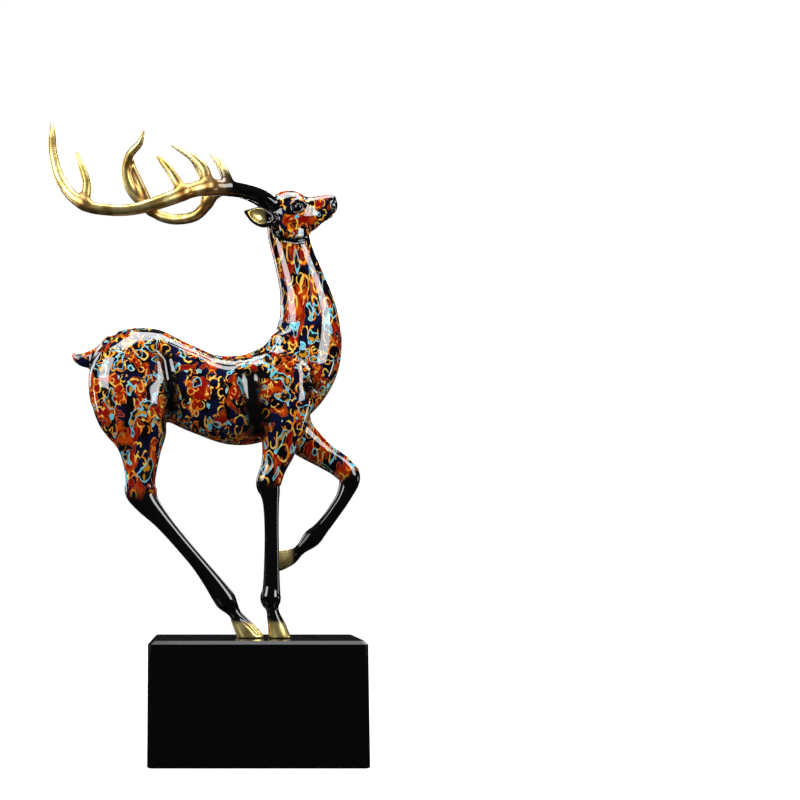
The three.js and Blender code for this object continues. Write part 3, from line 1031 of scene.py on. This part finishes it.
class Shader:
    """A short way to wire a material's nodes."""

    def __init__(self, name):
        self.material = bpy.data.materials.new(name)
        self.material.use_nodes = True
        self.tree = self.material.node_tree
        self.surface = self.tree.nodes["Principled BSDF"]

    def node(self, kind, settings=None, **inputs):
        made = self.tree.nodes.new(kind)
        for key, value in (settings or {}).items():
            setattr(made, key, value)
        for key, value in inputs.items():
            self.feed(made.inputs[key.replace("_", " ")], value)
        return made

    def feed(self, socket, value):
        """Links another node's result to a socket, or sets the socket's own value."""
        if isinstance(value, bpy.types.NodeSocket):
            self.tree.links.new(value, socket)
        elif isinstance(value, tuple) and socket.type == "RGBA":
            socket.default_value = (*value, 1)
        else:
            socket.default_value = value

    def attribute(self, name, output="Fac"):
        return self.node("ShaderNodeAttribute", {"attribute_name": name}).outputs[output]

    def math(self, operation, first, second=0.0):
        made = self.tree.nodes.new("ShaderNodeMath")
        made.operation = operation
        self.feed(made.inputs[0], first)
        self.feed(made.inputs[1], second)
        return made.outputs[0]

    def vector(self, operation, first, second):
        made = self.tree.nodes.new("ShaderNodeVectorMath")
        made.operation = operation
        self.feed(made.inputs[0], first)
        self.feed(made.inputs[1], second)
        return made.outputs[0]

    def noise(self, where, name, colour=False):
        """The named soft noise, as one value or as three."""
        size, offset, *more = NOISES[name]
        detail = more[0] if more else 0.0
        spot = self.vector("ADD", where, (offset, offset * OFFSET_STRETCH, -offset))
        made = self.node("ShaderNodeTexNoise", Vector=spot, Scale=1 / size, Detail=detail)
        return made.outputs["Color" if colour else "Fac"]

    def parts(self, vector):
        return list(self.node("ShaderNodeSeparateXYZ", Vector=vector).outputs)

    def rise(self, value, start, end):
        """0 at start and 1 at end, with a soft change in between."""
        made = self.node("ShaderNodeMapRange", {"interpolation_type": "SMOOTHSTEP"}, Value=value)
        made.inputs["From Min"].default_value = start
        made.inputs["From Max"].default_value = end
        return made.outputs["Result"]

    def band(self, value, level, half, soft):
        """1 where the value is within half of the level."""
        away = self.math("ABSOLUTE", self.math("SUBTRACT", value, level))
        return self.rise(away, half + soft, half)

    def patches(self, where, name):
        """1 in the patches that the named noise's range gives, 0 between them."""
        return self.rise(self.noise(where, name), *RISES[name])

    def varied(self, least, spread, value):
        """From least to least plus spread, as the value goes from 0 to 1."""
        return self.math("ADD", least, self.math("MULTIPLY", value, spread))

    def blend(self, share, first, second):
        made = self.tree.nodes.new("ShaderNodeMix")
        made.data_type = "RGBA"
        self.feed(made.inputs["Factor"], share)
        self.feed(made.inputs[MIX_FIRST], first)
        self.feed(made.inputs[MIX_SECOND], second)
        return made.outputs[MIX_RESULT]


def hooks(shader, where, shares):
    """Rings and commas, drawn flat on the front, the side and the top, and faded into each other."""
    x, y, z = shader.parts(where)
    total = None
    for share, first, second in zip(shader.parts(shares), (y, x, x), (z, z, y)):
        flat = shader.node("ShaderNodeCombineXYZ", X=first, Y=second).outputs[0]
        for size, half, offset in HOOKS:
            spot = shader.vector("ADD", flat, (offset, -offset, 0.0))
            flat_cells = {"voronoi_dimensions": "2D"}
            cells = shader.node("ShaderNodeTexVoronoi", flat_cells, Vector=spot, Scale=1 / size)
            chance = shader.parts(cells.outputs["Color"])
            radius = shader.varied(HOOK_RADIUS, HOOK_RADIUS_SPREAD, chance[0])
            away = shader.math("SUBTRACT", cells.outputs["Distance"], radius)
            line = shader.rise(shader.math("ABSOLUTE", away), half + HOOK_SOFT, half)
            drawn = shader.rise(chance[1], HOOK_MISSING, HOOK_MISSING + HOOK_MISSING_STEP)
            kept = shader.math("MULTIPLY", share, drawn)
            line = shader.math("MULTIPLY", line, kept)
            total = shader.math("MAXIMUM", total, line) if total else line
    return shader.math("MULTIPLY", total, shader.patches(where, "hook_gaps"))


def marbling(shader, where):
    """Navy ground with red and orange pools, golden hooks and rings, and aqua loops."""
    middle = (NOISE_MIDDLE, NOISE_MIDDLE, NOISE_MIDDLE)
    push = shader.vector("SUBTRACT", shader.noise(where, "push", True), middle)
    bent = shader.vector("ADD", where, shader.vector("MULTIPLY", push, (PUSH, PUSH, PUSH)))
    ground = shader.blend(shader.patches(bent, "ground"), BLACK, NAVY)
    pool = shader.noise(bent, "pool")
    warm = shader.blend(shader.patches(bent, "warm"), RED, ORANGE)
    colour = shader.blend(shader.rise(pool, POOL_LEVEL, POOL_LEVEL + POOL_SOFT), ground, warm)
    colour = shader.blend(shader.band(pool, POOL_RIM_LEVEL, *POOL_RIM_LINE), colour, POOL_RIM)
    gold = shader.blend(shader.patches(where, "hook_gold"), AMBER, YELLOW)
    hook_push = (HOOK_PUSH, HOOK_PUSH, HOOK_PUSH)
    nudged = shader.vector("ADD", where, shader.vector("MULTIPLY", push, hook_push))
    line = hooks(shader, nudged, shader.attribute("facing", "Vector"))
    colour = shader.blend(line, colour, gold)
    loop = shader.noise(bent, "loop")
    core = shader.blend(shader.patches(where, "loop_core"), LOOP_CORE_DARK, LOOP_CORE_GOLD)
    inside = shader.rise(loop, LOOP_LEVEL + LOOP_CORE_START, LOOP_LEVEL + LOOP_CORE_DONE)
    colour = shader.blend(inside, colour, core)
    colour = shader.blend(shader.band(loop, LOOP_LEVEL, *LOOP_LINE), colour, AQUA)
    return shader.blend(shader.band(loop, LOOP_LEVEL - LOOP_PALE, *LOOP_PALE_LINE), colour, PALE_AQUA)


def stag_material():
    """Glossy marbled lacquer that fades into black and is blackened by painted shade in the hollows, and
    satin gilding.
    """
    shader = Shader("lacquered_copper")
    where = shader.attribute("flow", "Vector")
    gold = shader.attribute("gold")
    lacquer = shader.attribute("lacquer")
    fork = shader.attribute("fork")
    ragged = shader.math("SUBTRACT", shader.noise(where, "ragged"), NOISE_MIDDLE)
    edge = shader.math("ADD", lacquer, shader.math("MULTIPLY", ragged, RAGGED_EDGE))
    shown = shader.rise(edge, *LACQUER_RISE)
    # Plain black where the lacquer fades out, and as painted shade in the hollows
    colour = shader.blend(shown, PLAIN_BLACK, marbling(shader, where))
    gilding = shader.blend(shader.patches(where, "patina"), GOLD_PALE, GOLD_DEEP)
    gilding = shader.blend(shader.math("MULTIPLY", fork, FORK_BROWN), gilding, GOLD_FORK)
    shader.feed(shader.surface.inputs["Base Color"], shader.blend(gold, colour, gilding))
    shader.feed(shader.surface.inputs["Metallic"], shader.math("MULTIPLY", gold, GOLD_METAL))
    grain = shader.noise(where, "grain")
    satin = shader.varied(GOLD_ROUGHNESS, GOLD_ROUGHNESS_SPREAD, grain)
    cloud = shader.noise(where, "polish")
    polish = shader.varied(LACQUER_ROUGHNESS, LACQUER_ROUGHNESS_SPREAD, cloud)
    mix = shader.node("ShaderNodeMix", Factor=gold, A=polish, B=satin)
    shader.feed(shader.surface.inputs["Roughness"], mix.outputs[0])
    wave = shader.noise(where, "wave")
    bump = shader.node("ShaderNodeBump", Height=wave, Strength=WAVE_STRENGTH, Distance=WAVE_HEIGHT)
    shader.feed(shader.surface.inputs["Normal"], bump.outputs["Normal"])
    shader.surface.inputs["Specular IOR Level"].default_value = LACQUER_SHINE
    return shader.material


def stone_material():
    """Polished black stone with a faint cloud in its polish."""
    shader = Shader("black_stone")
    where = shader.node("ShaderNodeTexCoord").outputs["Object"]
    cloud = shader.noise(where, "stone")
    shader.feed(shader.surface.inputs["Base Color"], shader.blend(cloud, STONE_DARK, STONE_PALE))
    roughness = shader.varied(STONE_ROUGHNESS, STONE_ROUGHNESS, cloud)
    shader.feed(shader.surface.inputs["Roughness"], roughness)
    shader.surface.inputs["Specular IOR Level"].default_value = STONE_SHINE
    return shader.material


def floor_material():
    """Pale paper that glows a little, so that it meets the backdrop without an edge."""
    shader = Shader("floor_paper")
    where = shader.node("ShaderNodeTexCoord").outputs["Object"]
    colour = shader.blend(shader.noise(where, "paper"), PAPER_DARK, PAPER_PALE)
    shader.feed(shader.surface.inputs["Base Color"], colour)
    shader.surface.inputs["Roughness"].default_value = PAPER_ROUGHNESS
    shader.surface.inputs["Specular IOR Level"].default_value = 0.0
    shader.surface.inputs["Emission Color"].default_value = (1, 1, 1, 1)
    shader.surface.inputs["Emission Strength"].default_value = FLOOR_GLOW
    return shader.material


def build_world():
    """A pale backdrop, an even fill, and a dark room in the reflections."""
    world = bpy.data.worlds.new("studio")
    bpy.context.scene.world = world
    world.use_nodes = True
    tree = world.node_tree
    back = tree.nodes["Background"]
    paths = tree.nodes.new("ShaderNodeLightPath")
    seen = tree.nodes.new("ShaderNodeMix")
    seen.data_type = "RGBA"
    seen.inputs[MIX_FIRST].default_value = (*ROOM, 1)
    seen.inputs[MIX_SECOND].default_value = (*BACKDROP, 1)
    filled = tree.nodes.new("ShaderNodeMix")
    filled.data_type = "RGBA"
    filled.inputs[MIX_SECOND].default_value = (*FILL, 1)
    tree.links.new(paths.outputs["Is Camera Ray"], seen.inputs["Factor"])
    tree.links.new(seen.outputs[MIX_RESULT], filled.inputs[MIX_FIRST])
    tree.links.new(paths.outputs["Is Diffuse Ray"], filled.inputs["Factor"])
    tree.links.new(filled.outputs[MIX_RESULT], back.inputs["Color"])


def build_stage():
    """Floor, soft boxes and world."""
    size = FLOOR_SIZE / 2
    corners = np.array([[-size, -size, 0], [size, -size, 0], [size, size, 0], [-size, size, 0]])
    floor = new_object("floor", corners, np.array([[0, 1, 2, 3]]))
    floor.data.materials.append(floor_material())
    floor.visible_glossy = False
    floor.visible_diffuse = False
    build_world()
    for name, place, wide, high, brightness in SOFT_BOXES:
        light = bpy.data.lights.new(name, "AREA")
        light.shape = "RECTANGLE"
        light.size = wide
        light.size_y = high
        light.energy = brightness * wide * high * math.pi
        light.color = BOX_COLOUR
        lamp = bpy.data.objects.new(name, light)
        lamp.location = place
        lamp.visible_camera = False
        lamp.rotation_mode = "QUATERNION"
        lamp.rotation_quaternion = (Vector(LIT_POINT) - Vector(place)).to_track_quat("-Z", "Y")
        bpy.context.scene.collection.objects.link(lamp)


def build_camera():
    """The photograph's viewpoint."""
    camera = bpy.data.cameras.new("photo")
    camera.lens = LENS
    camera.sensor_width = SENSOR
    camera.shift_x, camera.shift_y = SHIFT
    seat = bpy.data.objects.new("photo", camera)
    seat.location = CAMERA_PLACE
    seat.rotation_euler = (math.radians(90 + CAMERA_PITCH), 0, 0)
    bpy.context.scene.collection.objects.link(seat)
    bpy.context.scene.camera = seat


forms, whole = build_forms()
stag, places, normals = skin(whole)
attach(stag.data, "gold", "FLOAT", gold_share(forms, places))
# The lacquer share also holds the painted shade that blackens the hollows
attach(stag.data, "lacquer", "FLOAT", lacquer_share(forms, places))
attach(stag.data, "fork", "FLOAT", fork_share(forms, places))
attach(stag.data, "flow", "FLOAT_VECTOR", flow(places))
attach(stag.data, "facing", "FLOAT_VECTOR", facing(normals))
stag.data.materials.append(stag_material())
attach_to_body(stag, "root")
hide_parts("deer")

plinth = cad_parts["plinth"]
plinth.data.materials.clear()
plinth.data.materials.append(stone_material())

build_stage()
build_camera()
bpy.context.scene.view_settings.view_transform = "Standard"
